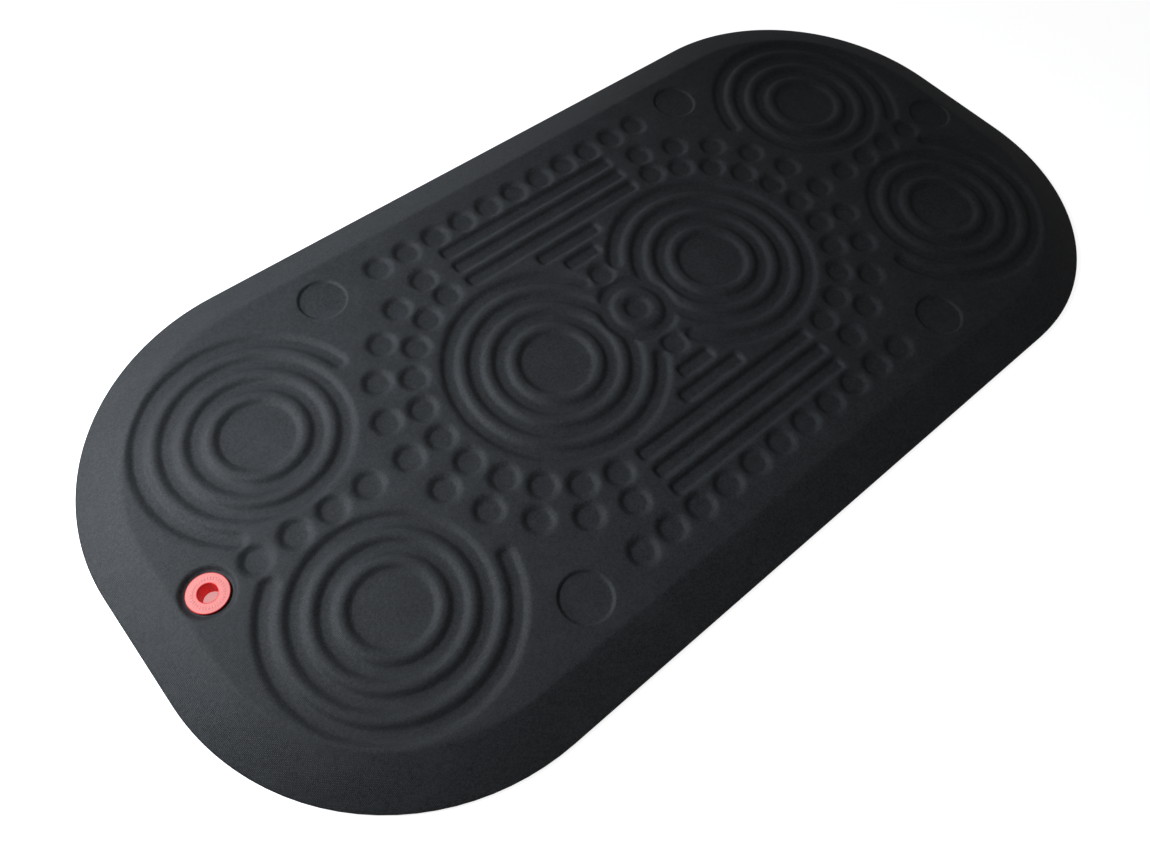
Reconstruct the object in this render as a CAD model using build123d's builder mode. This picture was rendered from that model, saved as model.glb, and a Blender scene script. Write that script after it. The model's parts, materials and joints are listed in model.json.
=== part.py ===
from build123d import *
from math import atan, cos, degrees, floor, tan
import os

os.makedirs("parts", exist_ok=True)

# An anti fatigue standing mat: a moulded foam core, a knit cover bonded over its top and its
# bevelled edge, a non-slip sheet under it, and a two-piece eyelet to hang it up by.
# Origin: middle of the underside. +X runs along the length, +Z is up. All sizes in millimetres.

# --- Overall form -------------------------------------------------------------------------
length = 990.0
width = 508.0
thickness = 18.0
corner_radius = 203.0
bevel_run = 39.0
rim_height = 3.0
crease_radius = 12.0

# --- Layers -------------------------------------------------------------------------------
base_thickness = 1.5
cover_thickness = 1.0

# --- Massage pattern ----------------------------------------------------------------------
recess_depth = 3.0
disc_depth = 2.0
groove_width = 11.5
dimple_radius = 11.3
large_disc_radius = 21.2

dimple_land = 5.0

# ring sets: a round hollow inside two closed grooves and one open groove
hollow_radius = 32.5
first_ring_radius = 49.1
ring_pitch = 22.2
middle_set_x = 96.6
middle_gap_angle = 34.4
corner_set_margin = 120.5
corner_arc_start = 13.0
corner_arc_end = 229.4

# small ring between the two middle sets
small_ring_radius = 30.5
small_dimple_y = 49.1

# bars across the middle, from the short ones near the centre to the long ones
bar_pitch = 20.0
first_bar_y = 76.6
short_bar_lengths = [37.6, 72.2]
long_bar_length = 206.8

# dimples along both long edges
edge_row_margin = 35.0
edge_dimple_pitch = 31.85
edge_dimples_each_side = 5
large_disc_x = 218.9

# dimples in two arcs round each middle set, and on along the centre line
inner_arc_offset = 4.4
inner_arc_radius = 119.7
inner_arc_step = 15.44
outer_arc_offset = 9.2
outer_arc_radius = 146.8
outer_arc_step = 15.74
arc_dimples_each_side = 5
axis_dimple_pitch = 33.9
axis_dimple_gap = 38.9

# --- Hanging eyelet -----------------------------------------------------------------------
eyelet_margin = 22.2
eyelet_recess_radius = 21.2
eyelet_bore_radius = 7.4
barrel_wall = 2.0
barrel_clearance = 0.3
flange_radius = 16.4
flange_thickness = 1.6
flange_edge_round = 0.6
bore_edge_round = 1.0
lock_ring_radius = 14.0
lock_ring_thickness = 2.0
lock_ring_gap = 0.3
lock_ring_lift = 0.3
lock_lip_width = 0.8
lock_lip_height = 0.5
lock_clearance = 0.1

# --- Worked out from the sizes above --------------------------------------------------------
bevel_angle = atan((thickness - rim_height) / bevel_run)
top_half_length = length / 2 - bevel_run
top_half_width = width / 2 - bevel_run
half_groove = groove_width / 2
closed_ring_reach = first_ring_radius + ring_pitch + half_groove
open_ring_radius = first_ring_radius + 2 * ring_pitch

corner_set_x = top_half_length - corner_set_margin
corner_set_y = top_half_width - corner_set_margin
edge_row_y = top_half_width - edge_row_margin
eyelet_x = -(top_half_length - eyelet_margin)

last_bar_y = edge_row_y - dimple_radius - half_groove
first_long_bar_y = first_bar_y + len(short_bar_lengths) * bar_pitch
long_bar_count = max(1, floor((last_bar_y - first_long_bar_y) / bar_pitch) + 1)
long_bar_ys = [first_long_bar_y + n * bar_pitch for n in range(long_bar_count)]

axis_dimple_first = middle_set_x + outer_arc_offset + outer_arc_radius + axis_dimple_gap
axis_room = abs(eyelet_x) - eyelet_recess_radius - dimple_radius - axis_dimple_first
axis_dimple_count = max(0, floor(axis_room / axis_dimple_pitch) + 1)

barrel_radius = eyelet_bore_radius + barrel_wall
eyelet_hole_radius = barrel_radius + barrel_clearance
recess_floor = thickness - recess_depth
flange_top = recess_floor + flange_thickness
lock_ring_top = lock_ring_lift + lock_ring_thickness
lock_pocket_radius = lock_ring_radius + lock_ring_gap
lock_lip_top = lock_ring_lift + lock_lip_height


def padded_block(inset, floor_height):
    """The mat's bevelled block, its skin moved inwards by inset, standing on floor_height."""
    rim_top = rim_height + inset * tan(bevel_angle) - inset / cos(bevel_angle)
    top = thickness - inset
    run = (top - rim_top) / tan(bevel_angle)
    with BuildPart() as block:
        with BuildSketch(Plane.XY.offset(floor_height)):
            RectangleRounded(length - 2 * inset, width - 2 * inset, corner_radius - inset)
        extrude(amount=rim_top - floor_height)
        with BuildSketch(Plane.XY.offset(rim_top)):
            RectangleRounded(length - 2 * inset, width - 2 * inset, corner_radius - inset)
        extrude(amount=top - rim_top, taper=degrees(atan(run / (top - rim_top))))
        top_edges = block.faces().sort_by(Axis.Z)[-1].edges()
        fillet(top_edges, crease_radius - inset)
    return block.part


def open_groove(radius, start, sweep, grow):
    """A groove along part of a circle, with round ends."""
    with BuildSketch() as groove:
        with BuildLine():
            middle = CenterArc((0, 0), radius, start, sweep)
        SlotArc(middle, groove_width + 2 * grow)
    return groove.sketch


def ring_set(grow):
    """The round hollow and the two closed grooves of one ring set."""
    with BuildSketch() as rings:
        for radius in (first_ring_radius + ring_pitch, first_ring_radius):
            Circle(radius + half_groove + grow)
            Circle(radius - half_groove - grow, mode=Mode.SUBTRACT)
        Circle(hollow_radius + grow)
    return rings.sketch


def mirrored(quarter):
    """Points of one quarter, mirrored to all four quarters, each place once."""
    return sorted({(sx * x + 0.0, sy * y + 0.0) for x, y in quarter for sx in (-1, 1) for sy in (-1, 1)})


def clears_corner_set(x, y, radius):
    """True where a round recess leaves a land beside the corner set's closed grooves."""
    reach = closed_ring_reach + dimple_land + radius
    return (Vector(x, y) - Vector(corner_set_x, corner_set_y)).length > reach


def dimple_places():
    """Centres of all the dimples, without any that would run into a corner set."""
    quarter = [(0, small_dimple_y)]
    quarter += [(n * edge_dimple_pitch, edge_row_y) for n in range(edge_dimples_each_side + 1)]
    quarter += [(axis_dimple_first + n * axis_dimple_pitch, 0) for n in range(axis_dimple_count)]
    arcs = (
        (inner_arc_offset, inner_arc_radius, inner_arc_step),
        (outer_arc_offset, outer_arc_radius, outer_arc_step),
    )
    for offset_x, radius, step in arcs:
        for n in range(arc_dimples_each_side + 1):
            spoke = Vector(radius, 0).rotate(Axis.Z, n * step)
            quarter.append((middle_set_x + offset_x + spoke.X, spoke.Y))
    return mirrored(place for place in quarter if clears_corner_set(*place, dimple_radius))


def large_disc_places():
    """Centres of the large flat discs: one in each quarter, and one facing the eyelet."""
    quarter = [(large_disc_x, edge_row_y)]
    places = mirrored(place for place in quarter if clears_corner_set(*place, large_disc_radius))
    return places + [(-eyelet_x, 0)]


def deep_pattern(grow):
    """Outline of every deep recess, with its walls moved outwards by grow."""
    with BuildSketch() as pattern:
        with Locations((-middle_set_x, 0), (middle_set_x, 0)):
            add(ring_set(grow))
        middle_sweep = 360 - 2 * middle_gap_angle
        for side_x, start in ((-1, middle_gap_angle), (1, 180 + middle_gap_angle)):
            with Locations((side_x * middle_set_x, 0)):
                add(open_groove(open_ring_radius, start, middle_sweep, grow))
        Circle(small_ring_radius - half_groove - grow, mode=Mode.SUBTRACT)
        with BuildSketch(mode=Mode.PRIVATE) as small_ring:
            Circle(small_ring_radius + half_groove + grow)
            Circle(small_ring_radius - half_groove - grow, mode=Mode.SUBTRACT)
        add(small_ring.sketch)
        Circle(dimple_radius + grow)

        sweep = corner_arc_end - corner_arc_start
        corners = (
            (-1, 1, corner_arc_start),
            (1, 1, 180 - corner_arc_end),
            (-1, -1, -corner_arc_end),
            (1, -1, 180 + corner_arc_start),
        )
        for side_x, side_y, start in corners:
            with Locations((side_x * corner_set_x, side_y * corner_set_y)):
                add(ring_set(grow))
                add(open_groove(open_ring_radius, start, sweep, grow))

        bar_width = groove_width + 2 * grow
        for n, bar_length in enumerate(short_bar_lengths):
            bar_y = first_bar_y + n * bar_pitch
            with Locations((0, bar_y), (0, -bar_y)):
                Rectangle(bar_length + 2 * grow, bar_width)
        for bar_y in long_bar_ys:
            with Locations((0, bar_y), (0, -bar_y)):
                Rectangle(long_bar_length + 2 * grow, bar_width)

        with Locations(*dimple_places()):
            Circle(dimple_radius + grow)
        with Locations((eyelet_x, 0)):
            Circle(eyelet_recess_radius + grow)
    return pattern.sketch


def shallow_pattern(grow):
    """Outline of the large flat discs, with their walls moved outwards by grow."""
    with BuildSketch() as pattern:
        with Locations(*large_disc_places()):
            Circle(large_disc_radius + grow)
    return pattern.sketch


# --- Foam core ----------------------------------------------------------------------------
core_top = thickness - cover_thickness
with BuildPart() as foam_core:
    add(padded_block(cover_thickness, base_thickness))
    with BuildSketch(Plane.XY.offset(core_top - recess_depth)):
        add(deep_pattern(cover_thickness))
    extrude(amount=recess_depth + cover_thickness, mode=Mode.SUBTRACT)
    with BuildSketch(Plane.XY.offset(core_top - disc_depth)):
        add(shallow_pattern(cover_thickness))
    extrude(amount=disc_depth + cover_thickness, mode=Mode.SUBTRACT)
    with Locations((eyelet_x, 0, 0)):
        Cylinder(
            eyelet_hole_radius,
            thickness,
            align=(Align.CENTER, Align.CENTER, Align.MIN),
            mode=Mode.SUBTRACT,
        )
        Cylinder(
            lock_pocket_radius,
            lock_ring_top,
            align=(Align.CENTER, Align.CENTER, Align.MIN),
            mode=Mode.SUBTRACT,
        )
foam_core.part.label = "foam_core"
export_step(foam_core.part, "parts/foam_core.step")

# --- Knit cover, bonded over the core and into every recess -------------------------------------
with BuildPart() as top_cover:
    add(padded_block(0, base_thickness))
    with BuildSketch(Plane.XY.offset(recess_floor)):
        add(deep_pattern(0))
    extrude(amount=recess_depth, mode=Mode.SUBTRACT)
    with BuildSketch(Plane.XY.offset(thickness - disc_depth)):
        add(shallow_pattern(0))
    extrude(amount=disc_depth, mode=Mode.SUBTRACT)
    with Locations((eyelet_x, 0, 0)):
        Cylinder(
            eyelet_hole_radius,
            thickness,
            align=(Align.CENTER, Align.CENTER, Align.MIN),
            mode=Mode.SUBTRACT,
        )
        Cylinder(
            lock_pocket_radius,
            lock_ring_top,
            align=(Align.CENTER, Align.CENTER, Align.MIN),
            mode=Mode.SUBTRACT,
        )
    add(foam_core.part, mode=Mode.SUBTRACT)
top_cover.part.label = "top_cover"
export_step(top_cover.part, "parts/top_cover.step")

# --- Non-slip sheet under the whole mat ---------------------------------------------------------
with BuildPart() as base_sheet:
    with BuildSketch():
        RectangleRounded(length, width, corner_radius)
        with Locations((eyelet_x, 0)):
            Circle(lock_pocket_radius, mode=Mode.SUBTRACT)
    extrude(amount=base_thickness)
base_sheet.part.label = "base_sheet"
export_step(base_sheet.part, "parts/base_sheet.step")

# --- Eyelet: flange and barrel in one moulding, pushed through from above ------------------------
with BuildPart() as eyelet_body:
    with BuildSketch(Plane((eyelet_x, 0, 0), x_dir=(1, 0, 0), z_dir=(0, -1, 0))):
        with BuildLine():
            Polyline(
                (eyelet_bore_radius, lock_ring_lift),
                (barrel_radius + lock_lip_width, lock_ring_lift),
                (barrel_radius + lock_lip_width, lock_lip_top),
                (barrel_radius, lock_lip_top),
                (barrel_radius, recess_floor),
                (flange_radius, recess_floor),
                (flange_radius, flange_top),
                (eyelet_bore_radius, flange_top),
                close=True,
            )
        make_face()
    revolve(axis=Axis((eyelet_x, 0, 0), (0, 0, 1)))
    flange_edges = eyelet_body.edges().filter_by(GeomType.CIRCLE).group_by(Axis.Z)[-1]
    fillet(flange_edges.sort_by(SortBy.RADIUS)[0], bore_edge_round)
    flange_edges = eyelet_body.edges().filter_by(GeomType.CIRCLE).group_by(Axis.Z)[-1]
    fillet(flange_edges.sort_by(SortBy.RADIUS)[-1], flange_edge_round)
eyelet_body.part.label = "eyelet_body"
export_step(eyelet_body.part, "parts/eyelet_body.step")

# --- Lock ring that snaps over the barrel's lip from below ----------------------------------------
with BuildPart() as eyelet_lock_ring:
    with BuildSketch(Plane.XY.offset(lock_ring_lift)):
        with Locations((eyelet_x, 0)):
            Circle(lock_ring_radius)
            Circle(barrel_radius + lock_lip_width + lock_clearance, mode=Mode.SUBTRACT)
    extrude(amount=lock_lip_height)
    with BuildSketch(Plane.XY.offset(lock_lip_top)):
        with Locations((eyelet_x, 0)):
            Circle(lock_ring_radius)
            Circle(barrel_radius + lock_clearance, mode=Mode.SUBTRACT)
    extrude(amount=lock_ring_top - lock_lip_top)
    lower_rim = eyelet_lock_ring.edges().group_by(Axis.Z)[0].sort_by(SortBy.RADIUS)[-1]
    fillet(lower_rim, flange_edge_round)
eyelet_lock_ring.part.label = "eyelet_lock_ring"
export_step(eyelet_lock_ring.part, "parts/eyelet_lock_ring.step")
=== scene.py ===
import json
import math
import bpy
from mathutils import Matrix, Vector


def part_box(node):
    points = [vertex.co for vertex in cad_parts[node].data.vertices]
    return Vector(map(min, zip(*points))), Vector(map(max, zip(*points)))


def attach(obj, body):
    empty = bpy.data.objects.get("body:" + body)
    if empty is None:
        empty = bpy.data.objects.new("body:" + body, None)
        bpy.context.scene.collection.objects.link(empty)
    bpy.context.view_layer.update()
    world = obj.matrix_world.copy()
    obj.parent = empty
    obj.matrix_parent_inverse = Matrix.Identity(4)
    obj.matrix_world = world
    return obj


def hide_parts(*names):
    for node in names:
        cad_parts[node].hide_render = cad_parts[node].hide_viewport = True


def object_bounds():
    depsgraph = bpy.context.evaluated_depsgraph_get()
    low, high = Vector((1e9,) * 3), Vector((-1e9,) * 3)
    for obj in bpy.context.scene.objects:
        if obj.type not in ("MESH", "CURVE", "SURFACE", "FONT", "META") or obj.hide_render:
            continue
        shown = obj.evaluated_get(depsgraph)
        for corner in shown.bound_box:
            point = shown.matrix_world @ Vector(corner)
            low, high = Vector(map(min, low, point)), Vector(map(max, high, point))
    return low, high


bl_info = {
    "name": "Anti Fatigue Mat",
    "version": (1, 0, 0),
    "blender": (4, 5, 0),
    "location": "3D View > Sidebar > Mat",
    "description": "Builds a foam standing mat with a knit cover, a recessed massage pattern and an eyelet",
    "category": "Object",
}

from collections import namedtuple

import bpy
import numpy as np
from bpy.props import FloatProperty, FloatVectorProperty, IntProperty, PointerProperty
from mathutils import Matrix, Vector
from mathutils.geometry import delaunay_2d_cdt

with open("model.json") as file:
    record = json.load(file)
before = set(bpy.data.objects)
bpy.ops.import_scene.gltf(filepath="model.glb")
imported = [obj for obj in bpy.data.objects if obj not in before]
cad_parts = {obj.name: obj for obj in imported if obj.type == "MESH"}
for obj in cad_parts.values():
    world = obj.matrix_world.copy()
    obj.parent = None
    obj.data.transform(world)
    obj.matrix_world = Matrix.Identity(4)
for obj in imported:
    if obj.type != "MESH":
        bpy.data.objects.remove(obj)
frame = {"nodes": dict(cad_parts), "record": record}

CAD_LOW, CAD_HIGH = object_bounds()
HALF_LENGTH = (CAD_HIGH[0] - CAD_LOW[0]) / 2
HALF_WIDTH = (CAD_HIGH[1] - CAD_LOW[1]) / 2
TOP = CAD_HIGH[2]
COVER_LOW, COVER_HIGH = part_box("top_cover")
CORE_LOW, CORE_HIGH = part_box("foam_core")
EYELET_LOW, EYELET_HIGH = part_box("eyelet_body")
LOCK_LOW, LOCK_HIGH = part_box("eyelet_lock_ring")
EYELET_X = (EYELET_LOW[0] + EYELET_HIGH[0]) / 2
FLANGE_RADIUS = (EYELET_HIGH[0] - EYELET_LOW[0]) / 2
LOCK_RADIUS = (LOCK_HIGH[0] - LOCK_LOW[0]) / 2
MOUNTS = {mount["name"]: mount for mount in frame["record"]["mounts"]}
BORE_RADIUS = MOUNTS["hanging_eyelet"]["dims"]["r_mm"] / 1000
COVER_THICKNESS = COVER_HIGH[2] - CORE_HIGH[2]
TAU = 2 * math.pi

# Gap between the cover and the foam, so that their faces don't coincide.
BOND_GAP = 0.00005
# Edges sharper than this stay sharp in the shading.
SMOOTH_ANGLE = math.radians(40)


def length_property(name, description, default):
    return FloatProperty(
        name=name, description=description, default=default, subtype="DISTANCE", unit="LENGTH", precision=5
    )


def angle_property(name, description, degrees):
    return FloatProperty(name=name, description=description, default=math.radians(degrees), subtype="ANGLE")


def number_property(name, description, default):
    return FloatProperty(name=name, description=description, default=default, min=0)


def count_property(name, description, default):
    return IntProperty(name=name, description=description, default=default, min=0)


def power_property(name, description, default):
    return FloatProperty(name=name, description=description, default=default, unit="POWER", min=0)


def colour_property(name, description, default):
    return FloatVectorProperty(
        name=name, description=description, default=default, subtype="COLOR", size=3, min=0, max=1
    )


class MatShape(bpy.types.PropertyGroup):
    """The mat's outline and its edge."""

    corner_radius: length_property("Corner radius", "Radius of the outline's corners", 0.203)
    bevel_run: length_property("Bevel width", "Width in plan of the sloping edge", 0.039)
    rim_height: length_property("Rim height", "Height where the sloping edge starts", 0.003)
    rim_round: length_property("Rim rounding", "Width over which the rim rolls down", 0.0011)
    rim_roll: length_property("Rim roll", "Drop of the rim's rolled edge", 0.0008)
    crease_width: length_property("Crease width", "Half the width over which slope turns into top", 0.0018)
    edge_bulge: length_property("Edge bulge", "How far the slope bulges at its middle", 0.0005)
    softness: length_property("Softness", "Height of the foam's slow waves", 0.00022)


class MatPattern(bpy.types.PropertyGroup):
    """The recessed massage pattern."""

    recess_depth: length_property("Recess depth", "Depth of grooves and dimples", 0.003)
    disc_depth: length_property("Disc depth", "Depth of the large flat discs", 0.002)
    groove_width: length_property("Groove width", "Width of every groove", 0.0115)
    wall_inside: length_property("Wall inside", "Reach of a recess wall into the recess", 0.0034)
    wall_outside: length_property("Wall outside", "Reach of a wall's rounding onto the land", 0.0054)
    disc_inside: length_property("Disc wall inside", "Reach of a large disc's wall into it", 0.0016)
    disc_outside: length_property("Disc wall outside", "Reach of its rounding onto the land", 0.0024)
    blend: length_property("Blend", "Width over which neighbouring roundings blend", 0.0025)
    dimple_radius: length_property("Dimple radius", "Radius of every dimple", 0.0113)
    dimple_land: length_property("Dimple land", "Land kept between a dimple and a corner ring set", 0.005)
    disc_radius: length_property("Disc radius", "Radius of the large discs", 0.0212)
    disc_x: length_property("Disc place", "From the middle to the large discs", 0.2189)
    hollow_radius: length_property("Hollow radius", "Radius of a ring set's middle", 0.0325)
    first_ring: length_property("First ring", "Radius of the innermost groove", 0.0491)
    ring_pitch: length_property("Ring pitch", "From groove to groove", 0.0222)
    middle_x: length_property("Middle set place", "From the centre to the middle ring sets", 0.0966)
    middle_gap: angle_property("Middle gap", "Half the opening of a middle set's outer groove", 34.4)
    corner_margin: length_property("Corner margin", "From the top's edge to a corner set's centre", 0.1205)
    corner_start: angle_property("Corner start", "Start of a corner's open groove", 13.0)
    corner_end: angle_property("Corner end", "End of a corner's open groove", 229.4)
    small_ring: length_property("Small ring", "Radius of the ring between the middle sets", 0.0305)
    small_dimple_y: length_property("Small dimple place", "From its centre to the dimples beside it", 0.0491)
    bar_pitch: length_property("Bar pitch", "From bar to bar", 0.020)
    first_bar: length_property("First bar", "From the centre line to the shortest bar", 0.0766)
    short_bar: length_property("Short bar", "Length of the shortest bar", 0.0376)
    middle_bar: length_property("Middle bar", "Length of the second bar", 0.0722)
    long_bar: length_property("Long bar", "Length of the long bars", 0.2068)
    bar_corner: length_property("Bar corner", "Rounding of the bars' corners", 0.0038)
    bar_steepness: number_property("Bar steepness", "How much steeper a bar's wall is below its edge", 1.45)
    row_margin: length_property("Row margin", "From the top's edge to the row of dimples", 0.035)
    row_pitch: length_property("Row pitch", "From dimple to dimple along the edge", 0.03185)
    inner_arc: length_property("Inner arc", "Radius of the inner arc of dimples", 0.1197)
    inner_shift: length_property("Inner shift", "Its centre, outwards of the ring set's", 0.0044)
    inner_step: angle_property("Inner step", "From dimple to dimple on the inner arc", 15.44)
    outer_arc: length_property("Outer arc", "Radius of the outer arc of dimples", 0.1468)
    outer_shift: length_property("Outer shift", "Its centre, outwards of the ring set's", 0.0092)
    outer_step: angle_property("Outer step", "From dimple to dimple on the outer arc", 15.74)
    dimples_each_side: count_property("Dimples each side", "On each side of a row's middle one", 5)
    axis_gap: length_property("Axis gap", "From the outer arc to the centre line's dimples", 0.0389)
    axis_pitch: length_property("Axis pitch", "From dimple to dimple on the centre line", 0.0339)
    eyelet_recess: length_property("Eyelet recess", "Radius of the recess round the eyelet", 0.0196)
    eyelet_steepness: number_property("Eyelet steepness", "How much steeper its wall is than the others", 1.6)
    hole_clearance: length_property("Hole clearance", "Gap between the eyelet's barrel and the foam", 0.0003)
    barrel_wall: length_property("Barrel wall", "Wall of the eyelet's barrel", 0.002)
    lock_gap: length_property("Lock gap", "Gap round the lock ring", 0.0003)
    pip_count: count_property("Pips", "Raised pips round the eyelet's flange", 34)
    pip_length: length_property("Pip length", "Length of a pip, from the bore outwards", 0.0026)
    pip_width: length_property("Pip width", "Width of a pip", 0.0009)
    pip_height: length_property("Pip height", "How far a pip stands above the flange", 0.0002)


class MatFinish(bpy.types.PropertyGroup):
    """Colours and the weave."""

    yarn: colour_property("Yarn", "Colour of the cloth's raised yarns", (0.049, 0.0525, 0.0585))
    # Near-black colour between the yarns: painted shade in the weave's gaps, standing in for their shadows.
    yarn_gap: colour_property("Yarn gap", "Colour between the yarns", (0.004, 0.004, 0.005))
    yarn_pitch: length_property("Yarn pitch", "From yarn to yarn", 0.00105)
    foam: colour_property("Foam", "Colour of the foam core", (0.035, 0.036, 0.039))
    rubber: colour_property("Rubber", "Colour of the non-slip sheet", (0.018, 0.018, 0.019))
    grip_pitch: length_property("Grip pitch", "From point to point of the fine grip underneath", 0.0022)
    eyelet: colour_property("Eyelet", "Colour of the eyelet", (0.88, 0.012, 0.014))
    # The flange's paler red is partly its frosted finish and partly a painted highlight for the gloss on its
    # top face.
    eyelet_frost: colour_property("Eyelet frost", "Paler red of its frosted flange", (0.93, 0.33, 0.31))


class MatStage(bpy.types.PropertyGroup):
    """Floor, light and camera."""

    floor: colour_property("Floor", "Colour of the floor", (0.9, 0.9, 0.9))
    floor_glow: number_property("Floor glow", "Strength of the floor's own even light", 0.85)
    key_power: power_property("Key power", "Power of the key light", 59)
    window_power: power_property("Window power", "Power of the low soft panel", 7.4)
    key_colour: colour_property("Key colour", "Colour of the key light", (0.89, 0.955, 1.0))
    fill: number_property("Fill", "Strength of the light from all round", 0.105)
    lens: number_property("Lens", "Focal length in millimetres on a 36 mm sensor", 29.34)


# --- The recessed pattern ---


class Pattern:
    """Where every recess is, as centres and as distances, and the height of the mat's face."""

    def __init__(self, shape, sizes):
        self.shape = shape
        self.sizes = sizes
        self.hole_radius = BORE_RADIUS + sizes.barrel_wall + sizes.hole_clearance
        self.half_groove = sizes.groove_width / 2
        self.corner_x = HALF_LENGTH - shape.bevel_run - sizes.corner_margin
        self.corner_y = HALF_WIDTH - shape.bevel_run - sizes.corner_margin
        self.row_y = HALF_WIDTH - shape.bevel_run - sizes.row_margin
        self.closed_rings = [sizes.first_ring, sizes.first_ring + sizes.ring_pitch]
        self.open_ring = sizes.first_ring + 2 * sizes.ring_pitch
        self.small_land = sizes.small_ring - self.half_groove
        self.sets = self.ring_sets()
        self.bars = self.bar_list()
        self.dimples = self.dimple_places()
        self.discs = self.disc_places()

    def ring_sets(self):
        """Centre x and y, and start and end of the open groove: the two middle sets, then the corners'."""
        gap, start, end = self.sizes.middle_gap, self.sizes.corner_start, self.sizes.corner_end
        middle_x = self.sizes.middle_x
        sets = [(-middle_x, 0, gap, TAU - gap), (middle_x, 0, math.pi + gap, 3 * math.pi - gap)]
        corners = ((-1, 1, start), (1, 1, math.pi - end), (-1, -1, -end), (1, -1, math.pi + start))
        for side_x, side_y, first in corners:
            last = first + end - start
            sets.append((side_x * self.corner_x, side_y * self.corner_y, first, last))
        return sets

    def bar_list(self):
        """Half-length and centre of each bar, outwards to the last one before the row of dimples."""
        sizes = self.sizes
        last = self.row_y - sizes.dimple_radius - self.half_groove
        lengths = [sizes.short_bar, sizes.middle_bar]
        first_long = sizes.first_bar + len(lengths) * sizes.bar_pitch
        lengths += [sizes.long_bar] * (math.floor((last - first_long) / sizes.bar_pitch) + 1)
        return [
            (bar / 2, side * (sizes.first_bar + n * sizes.bar_pitch))
            for n, bar in enumerate(lengths)
            for side in (-1, 1)
        ]

    def clears_corner(self, x, y, radius):
        reach = self.closed_rings[-1] + self.half_groove + self.sizes.dimple_land + radius
        return math.hypot(x - self.corner_x, y - self.corner_y) > reach

    def mirrored(self, quarter, radius):
        """The places in one quarter that clear its corner ring set, in all four quarters."""
        kept = [place for place in quarter if self.clears_corner(*place, radius)]
        return sorted({(sx * x + 0.0, sy * y + 0.0) for x, y in kept for sx in (-1, 1) for sy in (-1, 1)})

    def dimple_places(self):
        sizes = self.sizes
        steps = range(sizes.dimples_each_side + 1)
        quarter = [(0, 0), (0, sizes.small_dimple_y)]
        quarter += [(n * sizes.row_pitch, self.row_y) for n in steps]
        arcs = (
            (sizes.inner_shift, sizes.inner_arc, sizes.inner_step),
            (sizes.outer_shift, sizes.outer_arc, sizes.outer_step),
        )
        for shift, radius, step in arcs:
            for n in steps:
                x = sizes.middle_x + shift + radius * math.cos(n * step)
                quarter.append((x, radius * math.sin(n * step)))
        first = sizes.middle_x + sizes.outer_shift + sizes.outer_arc + sizes.axis_gap
        room = abs(EYELET_X) - sizes.eyelet_recess - sizes.dimple_radius - first
        for n in range(math.floor(room / sizes.axis_pitch) + 1):
            quarter.append((first + n * sizes.axis_pitch, 0))
        return self.mirrored(quarter, sizes.dimple_radius)

    def disc_places(self):
        places = self.mirrored([(self.sizes.disc_x, self.row_y)], self.sizes.disc_radius)
        return places + [(-EYELET_X, 0)]

    @staticmethod
    def join(first, second, blend):
        """The smaller of two distances, rounded off over blend where they are nearly equal."""
        smaller = np.minimum(first, second)
        if not blend:
            return smaller
        return smaller - np.maximum(blend - np.abs(first - second), 0) ** 2 / (4 * blend)

    def set_distance(self, x, y, centre_x, centre_y, start, end, blend):
        """Distance to one ring set's recesses, negative inside them."""
        across, up = x - centre_x, y - centre_y
        radius = np.hypot(across, up)
        nearest = radius - self.sizes.hollow_radius
        for ring in self.closed_rings:
            nearest = self.join(nearest, np.abs(radius - ring) - self.half_groove, blend)
        turn = np.mod(np.arctan2(up, across) - start, TAU)
        along = np.abs(radius - self.open_ring)
        ends = [
            np.hypot(across - self.open_ring * math.cos(angle), up - self.open_ring * math.sin(angle))
            for angle in (start, end)
        ]
        past_end = np.minimum(*ends)
        open_groove = np.where(turn <= end - start, along, past_end) - self.half_groove
        return self.join(nearest, open_groove, blend)

    @staticmethod
    def box_distance(x, y, half_x, half_y, corner):
        """Distance to a rounded rectangle, negative inside it."""
        over_x = np.abs(x) - (half_x - corner)
        over_y = np.abs(y) - (half_y - corner)
        outside = np.hypot(np.maximum(over_x, 0), np.maximum(over_y, 0))
        return outside + np.minimum(np.maximum(over_x, over_y), 0) - corner

    def deep(self, x, y, blend=0.0):
        """Distance to the nearest edge of a groove, hollow or dimple, negative inside."""
        sizes = self.sizes
        left, right = [self.set_distance(x, y, *ring_set, blend) for ring_set in self.sets[:2]]
        middle = self.join(left, right, blend)
        from_centre = np.hypot(x, y)
        nearest = -self.join(-middle, from_centre - self.small_land, blend)
        nearest = self.join(nearest, np.abs(from_centre - sizes.small_ring) - self.half_groove, blend)
        for ring_set in self.sets[2:]:
            nearest = self.join(nearest, self.set_distance(x, y, *ring_set, blend), blend)
        bar_land = (sizes.bar_pitch - sizes.groove_width) / 2
        outer, inner = (sizes.wall_outside / bar_land, sizes.bar_steepness) if blend else (1, 1)
        for half_length, centre_y in self.bars:
            distance = self.box_distance(x, y - centre_y, half_length, self.half_groove, sizes.bar_corner)
            nearest = self.join(nearest, distance * np.where(distance > 0, outer, inner), blend)
        for place_x, place_y in self.dimples:
            nearest = self.join(nearest, np.hypot(x - place_x, y - place_y) - sizes.dimple_radius, blend)
        steeper = sizes.eyelet_steepness if blend else 1
        return self.join(nearest, (np.hypot(x - EYELET_X, y) - sizes.eyelet_recess) * steeper, blend)

    def shallow(self, x, y):
        """Distance to the nearest large disc's edge, negative inside."""
        radius = self.sizes.disc_radius
        return np.minimum.reduce([np.hypot(x - disc_x, y - disc_y) - radius for disc_x, disc_y in self.discs])

    def edge_inset(self, x, y):
        """How far a point lies inside the mat's outline."""
        return -self.box_distance(x, y, HALF_LENGTH, HALF_WIDTH, self.shape.corner_radius)

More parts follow.
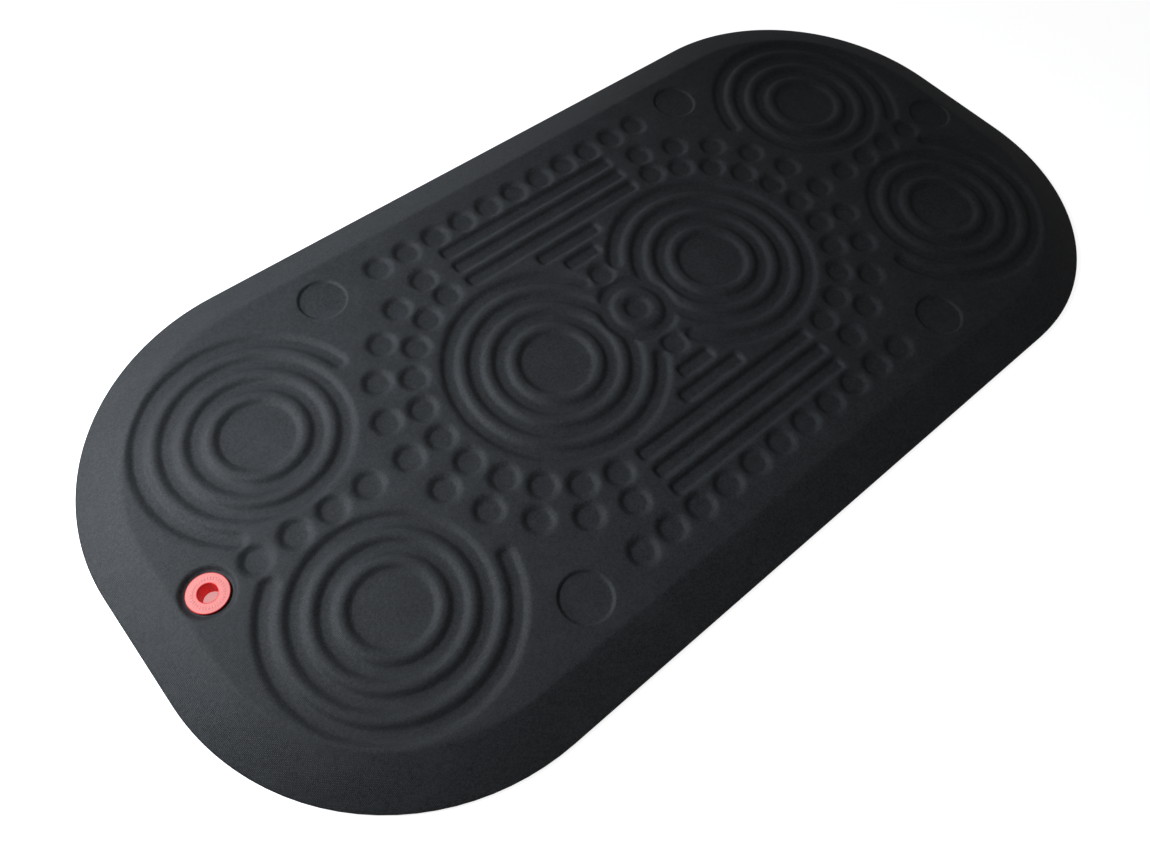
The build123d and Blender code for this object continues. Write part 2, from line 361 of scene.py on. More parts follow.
    @staticmethod
    def wall(distance, inside, outside):
        """1 on a recess's floor, 0 on the land; the steepest place is the recess's edge."""
        reach = inside + outside
        below = 1 - np.clip(distance + inside, 0, inside) ** 2 / (inside * reach)
        above = np.clip(outside - distance, 0, outside) ** 2 / (outside * reach)
        return np.where(distance < 0, below, above)

    @staticmethod
    def waves(x, y):
        """The foam's slow unevenness: crossing waves 0.2 to 0.3 m long, and slanting ones of 0.09 m."""
        crossing = np.sin(x * 23 + 1.3) * np.sin(y * 31 + 0.4)
        slanting = np.sin(x * 57 - y * 41)
        return crossing + 0.6 * slanting

    def height(self, x, y):
        """Height of the cover's outer face."""
        shape = self.shape
        inset = self.edge_inset(x, y)
        rise = (TOP - shape.rim_height) / shape.bevel_run
        slope = shape.rim_height + rise * inset
        slope = slope + shape.edge_bulge * np.sin(math.pi * np.clip(inset / shape.bevel_run, 0, 1))
        slope = slope - shape.rim_roll * np.clip(1 - inset / shape.rim_round, 0, 1) ** 2
        blend = rise * shape.crease_width
        gap = np.clip((slope - TOP + blend) / (2 * blend), 0, 1)
        body = slope * (1 - gap) + TOP * gap - blend * gap * (1 - gap)
        sag = shape.softness * (0.8 + 0.5 * self.waves(x, y))
        body = body - sag * np.clip(inset / shape.bevel_run, 0, 1)
        sizes = self.sizes
        deep = self.wall(self.deep(x, y, sizes.blend), sizes.wall_inside, sizes.wall_outside)
        shallow = self.wall(self.shallow(x, y), sizes.disc_inside, sizes.disc_outside)
        return body - np.maximum(sizes.recess_depth * deep, sizes.disc_depth * shallow)


# --- Triangles that follow the pattern ---

# Points round the eyelet's hole, and the share of a hole's radius beyond which a triangle lies outside it.
HOLE_POINTS = 48
HOLE_SHARE = 0.999
# Distance of points along the outline, the same on every face so that they can be joined.
RIM_SPACING = 0.005
# Fewest points on a circle, on an arc and on a rounded corner.
CIRCLE_POINTS = 16
ARC_POINTS = 4
CORNER_POINTS = 3
# Points closer together than this are joined into one.
MERGE_DISTANCE = 1e-7

# How closely the triangles' lines run: their distances in from the mat's outline, their places on a
# recess's wall as shares of its reach, and the distances from point to point on them and on the flat.
Density = namedtuple("Density", "insets walls spacing fill")
RIM_INSETS = (0.0002, 0.0005, 0.0009, 0.0014)
SLOPE_INSETS = (0.003, 0.008, 0.017, 0.026, 0.032)
CREASE_INSETS = (0.0345, 0.036, 0.0375, 0.039, 0.0405, 0.042, 0.046)
FINE = Density(
    insets=RIM_INSETS + SLOPE_INSETS + CREASE_INSETS,
    walls=(-1, -0.65, -0.3, 0, 0.25, 0.5, 0.75, 1.06),
    spacing=0.0029,
    fill=0.008,
)
COARSE = Density(
    insets=(0.003, 0.012, 0.024, 0.033, 0.036, 0.039, 0.042, 0.047),
    walls=(-0.85, -0.2, 0.25, 0.8),
    spacing=0.0052,
    fill=0.012,
)


def circle_line(centre_x, centre_y, radius, spacing):
    return arc_line(centre_x, centre_y, radius, 0, TAU, spacing, CIRCLE_POINTS)


def hole_line(radius):
    """The points of a round hole on the eyelet's axis."""
    return circle_line(EYELET_X, 0, radius, TAU * radius / HOLE_POINTS)


def arc_line(centre_x, centre_y, radius, start, end, spacing, fewest=ARC_POINTS):
    count = max(fewest, round(abs(end - start) * radius / spacing))
    angles = start + (end - start) * np.arange(count) / count
    return np.column_stack([centre_x + radius * np.cos(angles), centre_y + radius * np.sin(angles)])


def open_groove_line(ring_set, ring, half, spacing):
    """The closed line round an open groove, half its width from the groove's middle."""
    centre_x, centre_y, start, end = ring_set
    ends = [
        (centre_x + ring * math.cos(angle), centre_y + ring * math.sin(angle)) for angle in (start, end)
    ]
    return np.concatenate([
        arc_line(centre_x, centre_y, ring + half, start, end, spacing),
        arc_line(*ends[1], half, end, end + math.pi, spacing),
        arc_line(centre_x, centre_y, ring - half, end, start, spacing),
        arc_line(*ends[0], half, start + math.pi, start + TAU, spacing),
    ])


def rounded_line(half_x, half_y, corner, centre_y, spacing):
    """The line round a rounded rectangle, evenly divided on each straight and each corner."""
    points = []
    centres = [(1, 1, 0), (-1, 1, 1), (-1, -1, 2), (1, -1, 3)]
    corner_count = max(CORNER_POINTS, round(corner * math.pi / 2 / spacing))
    straights = [2 * (half_x - corner), 2 * (half_y - corner)]
    for side_x, side_y, quarter in centres:
        middle = np.array([side_x * (half_x - corner), centre_y + side_y * (half_y - corner)])
        for n in range(corner_count + 1):
            angle = (quarter + n / corner_count) * math.pi / 2
            points.append(middle + corner * np.array([math.cos(angle), math.sin(angle)]))
        straight = straights[quarter % 2]
        count = max(1, round(straight / spacing))
        direction = np.array([[-1, 0], [0, -1], [1, 0], [0, 1]][quarter])
        start = points[-1]
        points += [start + direction * straight * n / count for n in range(1, count)]
    return np.array(points)


def outline_line(pattern, inset):
    """The mat's outline moved inwards; every inset gives the same number of points."""
    corner = pattern.shape.corner_radius
    points = rounded_line(HALF_LENGTH, HALF_WIDTH, corner, 0, RIM_SPACING)
    core = np.array([HALF_LENGTH - corner, HALF_WIDTH - corner])
    nearest = np.clip(points, -core, core)
    return nearest + (points - nearest) * (corner - inset) / corner


def triangulate(points, edges):
    """Joins points into triangles that keep the edges: places, faces, and each place's own points."""
    whole_hull = 0
    made = delaunay_2d_cdt([Vector(p) for p in points], edges, [], whole_hull, MERGE_DISTANCE, True)
    places, _, faces, sources = made[:4]
    return places, faces, sources


class Net:
    """Points and lines in plan that the triangles will join."""

    def __init__(self, pattern):
        self.pattern = pattern
        self.points = []
        self.edges = []
        self.count = 0

    def line(self, points, keep=None):
        """Adds a closed line of the points that keep allows, and returns the first one's number."""
        first = self.count
        if keep is None:
            keep = np.ones(len(points), bool)
        index = np.cumsum(keep) - 1 + first
        following = np.roll(np.arange(len(points)), -1)
        both = keep & keep[following]
        self.edges += [(int(index[a]), int(index[b])) for a, b in zip(np.nonzero(both)[0], following[both])]
        self.points.append(points[keep])
        self.count += int(keep.sum())
        return first

    def recess_lines(self, steps, spacing):
        """Lines along both sides of every recess's edge; steps are shares of its wall's reach."""
        pattern, sizes = self.pattern, self.pattern.sizes
        half = pattern.half_groove
        tightest = 0.0003
        for step in steps:
            deep, shallow = [], []
            offset = step * (sizes.wall_outside if step > 0 else sizes.wall_inside)
            for ring_set in pattern.sets:
                centre = ring_set[:2]
                deep.append(circle_line(*centre, sizes.hollow_radius + offset, spacing))
                for ring in pattern.closed_rings:
                    deep.append(circle_line(*centre, ring + half + offset, spacing))
                    deep.append(circle_line(*centre, ring - half - offset, spacing))
                deep.append(open_groove_line(ring_set, pattern.open_ring, half + offset, spacing))
            deep.append(circle_line(0, 0, sizes.small_ring + half + offset, spacing))
            deep.append(circle_line(0, 0, sizes.small_ring - half - offset, spacing))
            for half_length, centre_y in pattern.bars:
                corner = max(sizes.bar_corner + offset, tightest)
                deep.append(rounded_line(half_length + offset, half + offset, corner, centre_y, spacing))
            for place in pattern.dimples:
                deep.append(circle_line(*place, sizes.dimple_radius + offset, spacing))
            deep.append(circle_line(EYELET_X, 0, sizes.eyelet_recess + offset, spacing))
            disc_offset = step * (sizes.disc_outside if step > 0 else sizes.disc_inside)
            for place in pattern.discs:
                shallow.append(circle_line(*place, sizes.disc_radius + disc_offset, spacing))
            self.keep_lines(deep, pattern.deep, offset)
            self.keep_lines(shallow, pattern.shallow, disc_offset)

    def keep_lines(self, lines, distance, offset):
        """Adds what is left of each line where no other recess comes nearer."""
        near = 0.0002
        for points in lines:
            self.line(points, np.abs(distance(*points.T) - offset) < near)

    def outline_lines(self, insets, clear):
        """Lines along the mat's edge, broken where a recess's own lines run."""
        for inset in insets:
            points = outline_line(self.pattern, inset)
            distance = np.minimum(self.pattern.deep(*points.T), self.pattern.shallow(*points.T))
            self.line(points, distance > clear)

    def fill(self, spacing, inset, clear_inside, clear_outside):
        """Points over the lands and floors, in rows shifted by half a step."""
        row_share = 0.87
        rows = np.arange(-HALF_WIDTH, HALF_WIDTH, spacing * row_share)
        columns = np.arange(-HALF_LENGTH, HALF_LENGTH, spacing)
        x, y = np.meshgrid(columns, rows)
        x = x + (np.arange(len(rows)) % 2)[:, None] * spacing / 2
        x, y = x.ravel(), y.ravel()
        deep, shallow = self.pattern.deep(x, y), self.pattern.shallow(x, y)
        clear = np.ones(len(x), bool)
        for distance in (deep, shallow):
            clear &= (distance < -clear_inside) | (distance > clear_outside)
        clear &= self.pattern.edge_inset(x, y) > inset
        clear &= np.hypot(x - EYELET_X, y) > FLANGE_RADIUS
        self.points.append(np.column_stack([x[clear], y[clear]]))
        self.count += int(clear.sum())

    def triangles(self):
        """Joins all points; returns the places, the triangles, and each point's new number."""
        places, faces, sources = triangulate(np.concatenate(self.points), self.edges)
        numbers = {}
        for number, source in enumerate(sources):
            for point in source:
                numbers[point] = number
        places = np.array([tuple(p) for p in places])
        faces = np.array(faces)
        middles = places[faces].mean(axis=1)
        from_axis = np.hypot(middles[:, 0] - EYELET_X, middles[:, 1])
        return places, faces[from_axis > self.pattern.hole_radius * HOLE_SHARE], numbers


def skin(pattern, inset, density):
    """One face of the cover or foam, inset from the mat's own in plan and in height.

    Returns its corners, its triangles, and its rim and hole as rings of numbers.
    """
    net = Net(pattern)
    rim = outline_line(pattern, inset)
    rim_first = net.line(rim)
    hole = hole_line(pattern.hole_radius)
    hole_first = net.line(hole)
    if density is FINE:
        collar = 0.002
        net.line(circle_line(EYELET_X, 0, pattern.hole_radius + collar, collar))
    # Room between the wall's last line and the lines along the outline, and the points on the flat.
    line_room = 0.001
    fill_room = density.fill * 0.3
    inside, outside = pattern.sizes.wall_inside, pattern.sizes.wall_outside
    net.outline_lines(density.insets, outside + line_room)
    net.recess_lines(density.walls, density.spacing)
    net.fill(density.fill, density.insets[-1] + fill_room, inside + fill_room, outside + fill_room)
    places, faces, numbers = net.triangles()
    corners = np.column_stack([places, pattern.height(*places.T) - inset])
    rings = [
        [numbers[first + n] for n in range(len(points))]
        for first, points in ((rim_first, rim), (hole_first, hole))
    ]
    return corners, faces, rings


class Solid:
    """A mesh put together from skins, rings of points and the bands between them."""

    def __init__(self):
        self.corners = []
        self.faces = []
        self.count = 0

    def add(self, corners, faces=(), flipped=False):
        """Adds points and the faces between them, and returns the first point's number."""
        first = self.count
        self.corners.append(np.asarray(corners, float))
        self.count += len(corners)
        for face in faces:
            face = [int(n) + first for n in face]
            self.faces.append(face[::-1] if flipped else face)
        return first

    def add_skin(self, pattern, inset, density, flipped=False):
        """Adds a skin, and returns its rim and its hole as rings of numbers."""
        corners, faces, rings = skin(pattern, inset, density)
        first = self.add(corners, faces, flipped)
        return [[first + n for n in ring] for ring in rings]

    def ring(self, plan, height):
        first = self.add(np.column_stack([plan, np.full(len(plan), height)]))
        return list(range(first, first + len(plan)))

    def band(self, upper, lower):
        """Faces between two rings of as many points, which run anticlockwise seen from above."""
        count = len(upper)
        for n in range(count):
            after = (n + 1) % count
            self.faces.append([upper[n], lower[n], lower[after], upper[after]])

    def piece(self, name, material):
        """Makes the object, smooth but for its sharp edges."""
        mesh = bpy.data.meshes.new(name)
        mesh.from_pydata(np.concatenate(self.corners).tolist(), [], self.faces)
        mesh.validate()
        mesh.update()
        piece = bpy.data.objects.new(name, mesh)
        bpy.context.scene.collection.objects.link(piece)
        bpy.ops.object.select_all(action="DESELECT")
        piece.select_set(True)
        bpy.context.view_layer.objects.active = piece
        bpy.ops.object.shade_smooth_by_angle(angle=SMOOTH_ANGLE)
        mesh.materials.append(material)
        return piece


# --- Shaders ---

# Sockets of a Mix node set to mix colours.
MIX_FACTOR = 0
MIX_FIRST = 6
MIX_SECOND = 7
MIX_RESULT = 2


class Field:
    """A shader socket that takes Python arithmetic; each step adds one Math node."""

    def __init__(self, shader, socket):
        self.shader = shader
        self.socket = socket

    def math(self, operation, *others):
        return self.shader.add("ShaderNodeMath", {"operation": operation}, self, *others)

    def __add__(self, other):
        return self.math("ADD", other)

    __radd__ = __add__

    def __mul__(self, other):
        return self.math("MULTIPLY", other)

    def __sub__(self, other):
        return self.math("SUBTRACT", other)

    def __rsub__(self, other):
        return self.shader.add("ShaderNodeMath", {"operation": "SUBTRACT"}, other, self)

    def __truediv__(self, other):
        return self.math("DIVIDE", other)


class Shader:
    """One material's nodes."""

    def __init__(self, name):
        self.material = bpy.data.materials.new(name)
        self.material.use_nodes = True
        self.tree = self.material.node_tree
        self.tree.nodes.clear()
        self.output = self.tree.nodes.new("ShaderNodeOutputMaterial")

    def add(self, kind, settings, *values, output=0, **sockets):
        """Adds a node: its settings first, then its sockets in order or by name, and returns one output."""
        node = self.tree.nodes.new(kind)
        for setting, value in settings.items():
            setattr(node, setting, value)
        named = [(node.inputs[name.replace("_", " ")], value) for name, value in sockets.items()]
        for socket, value in list(zip(node.inputs, values)) + named:
            if isinstance(value, Field):
                self.tree.links.new(value.socket, socket)
            else:
                socket.default_value = value
        return Field(self, node.outputs[output])

    def place(self):
        """Object coordinates, in metres."""
        return self.add("ShaderNodeTexCoord", {}, output="Object")

    def axes(self):
        """Object coordinates as three fields."""
        place = self.place()
        return [self.add("ShaderNodeSeparateXYZ", {}, place, output=axis) for axis in "XYZ"]

    def noise(self, scale, detail, roughness=0.5):
        """Smooth noise from 0 to 1, of scale cells to the metre."""
        sockets = {"Vector": self.place(), "Scale": scale, "Detail": detail, "Roughness": roughness}
        return self.add("ShaderNodeTexNoise", {}, output="Fac", **sockets)

    def blend(self, factor, first, second):
        """Mixes two colours, or fields of colour, by the field factor."""
        node = self.tree.nodes.new("ShaderNodeMix")
        node.data_type = "RGBA"
        node.clamp_factor = True
        self.tree.links.new(factor.socket, node.inputs[MIX_FACTOR])
        for number, colour in ((MIX_FIRST, first), (MIX_SECOND, second)):
            if isinstance(colour, Field):
                self.tree.links.new(colour.socket, node.inputs[number])
            else:
                node.inputs[number].default_value = (*colour, 1)
        return Field(self, node.outputs[MIX_RESULT])

    def smooth(self, value, low, high):
        """0 below low, 1 above high, and a soft step between."""
        return self.add("ShaderNodeMapRange", {"interpolation_type": "SMOOTHSTEP"}, value, low, high, 0, 1)

    def bump(self, height, distance, strength):
        return self.add("ShaderNodeBump", {}, Height=height, Distance=distance, Strength=strength)

    def finish(self, **sockets):
        """Ends the material with a Principled shader of these sockets."""
        surface = self.add("ShaderNodeBsdfPrincipled", {}, **sockets)
        self.tree.links.new(surface.socket, self.output.inputs["Surface"])
        return self.material


def knit_cloth(finish):
    """Charcoal cloth: yarns that pass over and under each other, with painted shade in the gaps between them,
    fibres and faint mottling.
    """
    shader = Shader("charcoal_knit")
    x, y, _ = shader.axes()
    wander = (shader.noise(scale=260, detail=2) - 0.5) * 0.5
    across = x / finish.yarn_pitch + wander
    along = y / finish.yarn_pitch - wander
    crest_across = (across.math("FRACT") * math.pi).math("SINE")
    crest_along = (along.math("FRACT") * math.pi).math("SINE")
    swap = ((across.math("FLOOR") + along.math("FLOOR")) * 0.5).math("FRACT") * 2
    over = crest_along * (crest_across * 0.45 + 0.55)
    under = crest_across * (crest_along * 0.45 + 0.55)
    weave = over * (1 - swap) + under * swap
    fibres = shader.noise(scale=3600, detail=3, roughness=0.7)
    grain = shader.noise(scale=900, detail=2, roughness=0.6)
    slub = shader.noise(scale=420, detail=3, roughness=0.65)
    mottle = shader.noise(scale=38, detail=4, roughness=0.6)
    yarn = weave * 0.9 + (fibres - 0.5) * 0.5 + (grain - 0.5) * 1.3 + (slub - 0.5) * 1.1
    # Painted shade: the colour darkens from each yarn's crest down into the gaps between the yarns.
    cloth = shader.blend(yarn, finish.yarn_gap, finish.yarn)
    pale = tuple(min(1.0, c * 1.35) for c in finish.yarn)
    cloth = shader.blend(shader.smooth(mottle, 0.45, 0.8) * 0.2, cloth, pale)
    height = weave * 0.8 + fibres * 0.35 + slub * 0.3
    roughness = 0.57 - weave * 0.08 + (mottle - 0.5) * 0.08
    return shader.finish(
        Base_Color=cloth,
        Roughness=roughness,
        Normal=shader.bump(height, distance=0.00022, strength=0.8),
        Specular_IOR_Level=0.3,
    )


def foam(finish):
    """Foam with fine closed cells."""
    shader = Shader("core_foam")
    settings = {"feature": "DISTANCE_TO_EDGE"}
    sockets = {"Vector": shader.place(), "Scale": 900}
    cells = shader.add("ShaderNodeTexVoronoi", settings, output="Distance", **sockets)
    walls = shader.smooth(cells, 0, 0.12)
    grain = shader.noise(scale=300, detail=3)
    pale = tuple(c * 1.8 for c in finish.foam)
    colour = shader.blend(walls * 0.7 + grain * 0.3, pale, finish.foam)
    return shader.finish(
        Base_Color=colour,
        Roughness=0.9 - walls * 0.06,
        Normal=shader.bump(walls, distance=0.0003, strength=0.6),
        Specular_IOR_Level=0.3,
    )


def grip_rubber(finish):
    """Non-slip rubber: a fine embossed grip underneath, plain round the edge."""
    shader = Shader("grip_rubber")
    x, y, z = shader.axes()
    across = (x / finish.grip_pitch).math("FRACT") - 0.5
    along = (y / finish.grip_pitch).math("FRACT") - 0.5
    away = (across * across + along * along).math("SQRT")
    underneath = 1 - shader.smooth(z, CAD_LOW[2] + 0.0001, CAD_LOW[2] + 0.0003)
    dots = (1 - shader.smooth(away, 0.15, 0.5)) * underneath
    grain = shader.noise(scale=1400, detail=4, roughness=0.65)
    dust = shader.smooth(shader.noise(scale=24, detail=5, roughness=0.6), 0.5, 0.8)
    pale = tuple(c * 2.4 + 0.01 for c in finish.rubber)
    colour = shader.blend(dots * 0.35 + dust * 0.35, finish.rubber, pale)
    return shader.finish(
        Base_Color=colour,
        Roughness=0.72 + grain * 0.14 - dots * 0.12,
        Normal=shader.bump(dots + grain * 0.3, distance=0.0002, strength=0.8),
        Specular_IOR_Level=0.45,
    )


def eyelet_plastic(finish):
    """Red moulded plastic: a frosted flange painted a paler red as a highlight on its top face, and a glossy
    bore.
    """
    shader = Shader("eyelet_red")
    x, y, _ = shader.axes()
    out_x = x - EYELET_X
    radius = (out_x * out_x + y * y).math("SQRT")
    grain = shader.noise(scale=1500, detail=3, roughness=0.7)
    inner_edge = shader.smooth(radius, BORE_RADIUS + 0.0003, BORE_RADIUS + 0.0015)
    outer_edge = 1 - shader.smooth(radius, FLANGE_RADIUS - 0.0009, FLANGE_RADIUS - 0.0002)
    on_flange = inner_edge * outer_edge
    # Painted highlight: the flange's top is paler than the bore, partly frost and partly the light's gloss
    # painted in.
    frost_and_highlight = on_flange * (0.85 + (grain - 0.5) * 0.9)
    colour = shader.blend(frost_and_highlight, finish.eyelet, finish.eyelet_frost)
    return shader.finish(
        Base_Color=colour,
        Roughness=0.28 + on_flange * 0.2 + (grain - 0.5) * 0.1,
        Normal=shader.bump(grain * 0.12, distance=0.0003, strength=0.4),
        Specular_IOR_Level=0.5,
    )


def floor_paint(stage):
    """An even pale floor, with a painted shadow below the eyelet's bore, where it glows less and faintly red.
    """
    shader = Shader("pale_floor")
    x, y, _ = shader.axes()
    out_x = x - EYELET_X
    unshadowed_floor = shader.smooth((out_x * out_x + y * y).math("SQRT"), BORE_RADIUS, FLANGE_RADIUS)
    grain = shader.noise(scale=3, detail=2)
    paler = tuple(min(1.0, c * 1.02) for c in stage.floor)
    # Painted shadow: under the bore the floor's glow drops to a dim pink, standing in for shade and the red
    # eyelet's bounce light.
    painted_bore_shadow = (0.4, 0.36, 0.36)
    elsewhere = (1, 1, 1)
    return shader.finish(
        Base_Color=shader.blend(grain, stage.floor, paler),
        Roughness=0.9,
        Specular_IOR_Level=0.1,
        Emission_Color=shader.blend(unshadowed_floor, painted_bore_shadow, elsewhere),
        Emission_Strength=stage.floor_glow,
    )


def dress_node(node, material):
    """Gives a CAD node's material slots this material."""
    mesh = frame["nodes"][node].data
    mesh.materials.clear()
    mesh.materials.append(material)


# --- Operators ---


class MAT_OT_cover(bpy.types.Operator):
    """Make the knit cover over the top, the slope and every recess"""

    bl_idname = "mat.cover"
    bl_label = "Knit cover"

    def execute(self, context):
        scene = context.scene
        pattern = Pattern(scene.mat_shape, scene.mat_pattern)
        solid = Solid()
        upper_rim, upper_edge = solid.add_skin(pattern, 0, FINE)
        under_rim, under_edge = solid.add_skin(pattern, COVER_THICKNESS, COARSE, flipped=True)
        outer_foot = solid.ring(outline_line(pattern, 0), COVER_LOW[2])
        inner_foot = solid.ring(outline_line(pattern, COVER_THICKNESS), COVER_LOW[2])
        solid.band(upper_rim, outer_foot)
        solid.band(outer_foot, inner_foot)
        solid.band(inner_foot, under_rim)
        solid.band(under_edge, upper_edge)
        cover = solid.piece("knit_cover", knit_cloth(scene.mat_finish))
        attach(cover, "root")
        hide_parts("top_cover")
        return {"FINISHED"}


class MAT_OT_foam(bpy.types.Operator):
    """Make the foam core under the cover"""

    bl_idname = "mat.foam"
    bl_label = "Foam core"

    def execute(self, context):
        scene = context.scene
        pattern = Pattern(scene.mat_shape, scene.mat_pattern)
        pocket = LOCK_RADIUS + scene.mat_pattern.lock_gap
        inset = COVER_THICKNESS + BOND_GAP
        solid = Solid()
        top_rim, top_edge = solid.add_skin(pattern, inset, COARSE)
        foot = solid.ring(outline_line(pattern, inset), CORE_LOW[2])
        bore_foot = solid.ring(hole_line(pattern.hole_radius), LOCK_HIGH[2])
        pocket_top = solid.ring(hole_line(pocket), LOCK_HIGH[2])
        pocket_foot = solid.ring(hole_line(pocket), CORE_LOW[2])
        solid.band(top_rim, foot)
        solid.band(bore_foot, top_edge)
        solid.band(pocket_top, bore_foot)
        solid.band(pocket_foot, pocket_top)
        self.close_underside(solid, foot, pocket_foot, pocket)
        core = solid.piece("foam_block", foam(scene.mat_finish))
        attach(core, "root")
        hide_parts("foam_core")
        return {"FINISHED"}

    def close_underside(self, solid, foot, pocket, pocket_radius):
        """Joins the foot's ring and the pocket's ring with flat triangles facing down."""
        numbers = foot + pocket
        plan = np.concatenate(solid.corners)[numbers, :2]
        edges = []
        for first, count in ((0, len(foot)), (len(foot), len(pocket))):
            edges += [(first + n, first + (n + 1) % count) for n in range(count)]
        places, faces, sources = triangulate(plan, edges)
        for face in faces:
            middle = sum((places[n] for n in face), Vector((0, 0))) / 3
            if math.hypot(middle.x - EYELET_X, middle.y) > pocket_radius * HOLE_SHARE:
                solid.faces.append([numbers[sources[n][0]] for n in reversed(face)])


class MAT_OT_base(bpy.types.Operator):
    """Finish the non-slip sheet"""

    bl_idname = "mat.base"
    bl_label = "Non-slip sheet"

    def execute(self, context):
        dress_node("base_sheet", grip_rubber(context.scene.mat_finish))
        return {"FINISHED"}


class MAT_OT_eyelet(bpy.types.Operator):
    """Finish the eyelet and its lock ring, and raise the pips on its flange"""

    bl_idname = "mat.eyelet"
    bl_label = "Eyelet"

    def execute(self, context):
        plastic = eyelet_plastic(context.scene.mat_finish)
        dress_node("eyelet_body", plastic)
        dress_node("eyelet_lock_ring", plastic)
        pips = self.add_pips(context.scene.mat_pattern)
        pips.data.materials.append(plastic)
        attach(pips, "root")
        return {"FINISHED"}

    def add_pips(self, sizes):
        """A ring of plain pips, half sunk in the flange: the first, and turned copies of it."""
        middle = (BORE_RADIUS + FLANGE_RADIUS) / 2
        edge_round = sizes.pip_height * 0.6
        bpy.ops.object.select_all(action="DESELECT")
        bpy.ops.mesh.primitive_cube_add(
            size=1,
            location=(EYELET_X + middle, 0, EYELET_HIGH[2]),
            scale=(sizes.pip_length, sizes.pip_width, 2 * sizes.pip_height),
        )
        first = bpy.context.object
        first.name = "eyelet_pips"
        bpy.ops.object.transform_apply(location=True, rotation=True, scale=True)
        bpy.ops.object.mode_set(mode="EDIT")
        bpy.ops.mesh.select_all(action="SELECT")
        bpy.ops.mesh.bevel(offset=edge_round, segments=2)
        bpy.ops.object.mode_set(mode="OBJECT")
        to_axis = Matrix.Translation((EYELET_X, 0, 0))
        for n in range(1, sizes.pip_count):
            pip = first.copy()
            pip.data = first.data.copy()
            turn = Matrix.Rotation(n * TAU / sizes.pip_count, 4, "Z")
            pip.data.transform(to_axis @ turn @ to_axis.inverted())
            bpy.context.scene.collection.objects.link(pip)
            pip.select_set(True)
        bpy.ops.object.join()
        bpy.ops.object.shade_smooth_by_angle(angle=SMOOTH_ANGLE)
        return first


# Places of the lamps and the points that they face.
KEY_PLACE = (-0.88, 0.535, 0.735)
KEY_AIM = (-0.38, 0.17, 0)
WINDOW_PLACE = (-0.2, 1.6, 0.32)
WINDOW_AIM = (-0.2, 0.1, 0.1)
# The camera's place, and the directions of its right side and of its view.
CAMERA_PLACE = (-0.4234, -0.3373, 0.6911)
CAMERA_RIGHT = (0.7574, -0.6497, 0.0657)
CAMERA_FORWARD = (0.3786, 0.3549, -0.8548)


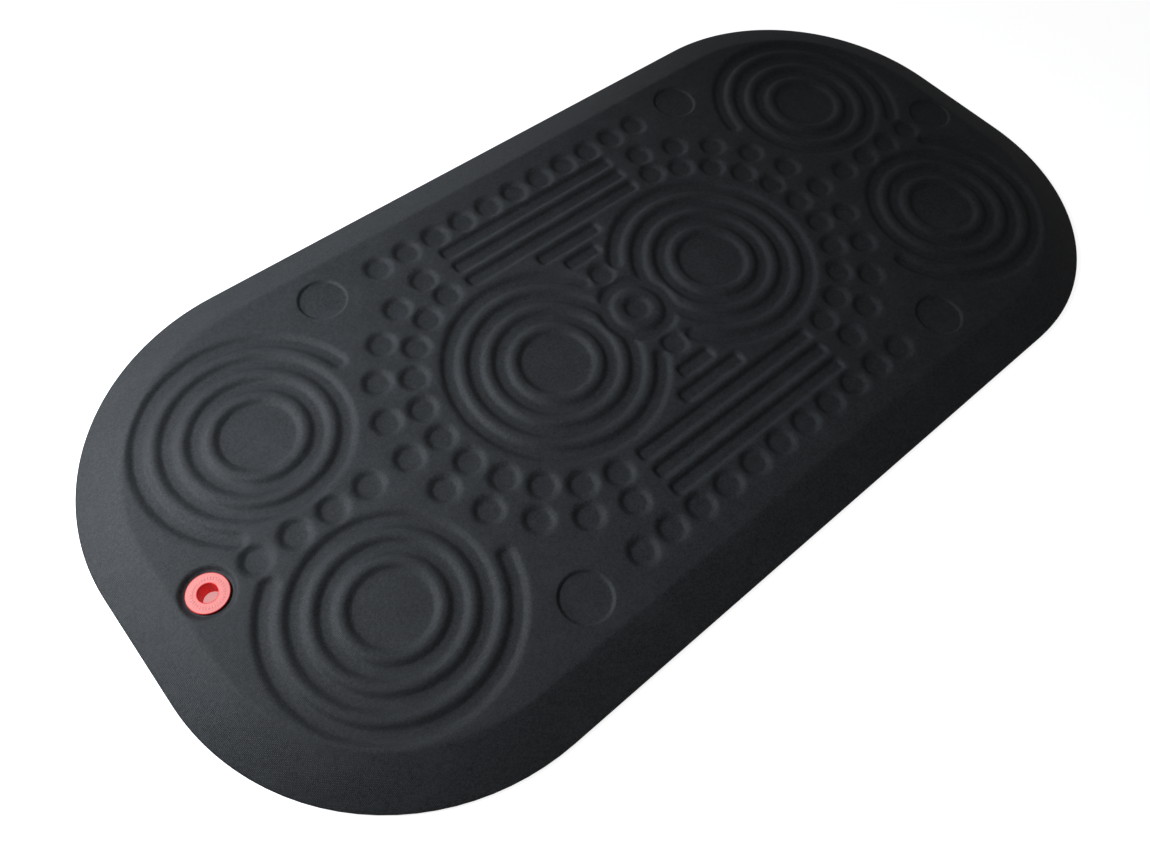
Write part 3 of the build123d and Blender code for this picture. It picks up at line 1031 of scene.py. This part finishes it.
class MAT_OT_stage(bpy.types.Operator):
    """Set up the floor, the light and the camera"""

    bl_idname = "mat.stage"
    bl_label = "Stage"

    def execute(self, context):
        scene = context.scene
        stage = scene.mat_stage
        self.add_floor(stage)
        self.add_key(scene, stage)
        self.add_window(scene, stage)
        self.add_fill(scene, stage)
        self.add_camera(scene, stage)
        scene.view_settings.view_transform = "Standard"
        return {"FINISHED"}

    def add_floor(self, stage):
        """A floor just below the mat that no surface mirrors."""
        floor_size = 60
        below = 0.0002
        bpy.ops.object.select_all(action="DESELECT")
        bpy.ops.mesh.primitive_plane_add(size=floor_size, location=(0, 0, CAD_LOW[2] - below))
        floor = bpy.context.object
        floor.name = "floor"
        bpy.ops.object.transform_apply(location=True, rotation=True, scale=True)
        floor.data.materials.append(floor_paint(stage))
        floor.visible_glossy = False

    def add_lamp(self, scene, light, place, aim):
        lamp = bpy.data.objects.new(light.name, light)
        scene.collection.objects.link(lamp)
        lamp.location = place
        lamp.rotation_euler = (Vector(aim) - Vector(place)).to_track_quat("-Z", "Y").to_euler()
        lamp.visible_camera = False

    def add_key(self, scene, stage):
        """A soft-edged spot light on the eyelet's end."""
        light = bpy.data.lights.new("key_light", "SPOT")
        light.energy = stage.key_power
        light.color = stage.key_colour
        light.shadow_soft_size = 0.12
        light.spot_size = math.radians(64)
        light.spot_blend = 1
        self.add_lamp(scene, light, KEY_PLACE, KEY_AIM)

    def add_window(self, scene, stage):
        """A wide low panel that glances off the slopes facing it."""
        light = bpy.data.lights.new("window_light", "AREA")
        light.shape = "RECTANGLE"
        light.size = 2.2
        light.size_y = 0.6
        light.energy = stage.window_power
        light.color = stage.key_colour
        self.add_lamp(scene, light, WINDOW_PLACE, WINDOW_AIM)

    def add_fill(self, scene, stage):
        """A weak white light from all round, in front of a white backdrop."""
        world = bpy.data.worlds.new("studio")
        world.use_nodes = True
        nodes, links = world.node_tree.nodes, world.node_tree.links
        background = nodes["Background"]
        background.inputs["Color"].default_value = (1, 1, 1, 1)
        seen = nodes.new("ShaderNodeLightPath")
        strength = nodes.new("ShaderNodeMapRange")
        strength.inputs["To Min"].default_value = stage.fill
        links.new(seen.outputs["Is Camera Ray"], strength.inputs["Value"])
        links.new(strength.outputs["Result"], background.inputs["Strength"])
        scene.world = world

    def add_camera(self, scene, stage):
        right = Vector(CAMERA_RIGHT).normalized()
        forward = Vector(CAMERA_FORWARD).normalized()
        up = right.cross(forward).normalized()
        forward = up.cross(right)
        camera = bpy.data.objects.new("camera", bpy.data.cameras.new("camera"))
        scene.collection.objects.link(camera)
        rotation = Matrix((right, up, -forward)).transposed().to_4x4()
        camera.matrix_world = Matrix.Translation(CAMERA_PLACE) @ rotation
        camera.data.lens = stage.lens
        camera.data.sensor_width = 36
        camera.data.clip_start = 0.01
        scene.camera = camera


class MAT_PT_panel(bpy.types.Panel):
    """The mat's pieces"""

    bl_label = "Anti fatigue mat"
    bl_idname = "MAT_PT_panel"
    bl_space_type = "VIEW_3D"
    bl_region_type = "UI"
    bl_category = "Mat"

    def draw(self, context):
        for operator in OPERATORS:
            self.layout.operator(operator.bl_idname)


OPERATORS = (MAT_OT_cover, MAT_OT_foam, MAT_OT_base, MAT_OT_eyelet, MAT_OT_stage)
GROUPS = {"mat_shape": MatShape, "mat_pattern": MatPattern, "mat_finish": MatFinish, "mat_stage": MatStage}
CLASSES = (*GROUPS.values(), *OPERATORS, MAT_PT_panel)


def register():
    for cls in CLASSES:
        bpy.utils.register_class(cls)
    for name, group in GROUPS.items():
        setattr(bpy.types.Scene, name, PointerProperty(type=group))


def unregister():
    for name in GROUPS:
        delattr(bpy.types.Scene, name)
    for cls in reversed(CLASSES):
        bpy.utils.unregister_class(cls)


def main():
    register()
    bpy.ops.mat.cover()
    bpy.ops.mat.foam()
    bpy.ops.mat.base()
    bpy.ops.mat.eyelet()
    bpy.ops.mat.stage()


if __name__ == "__main__":
    main()
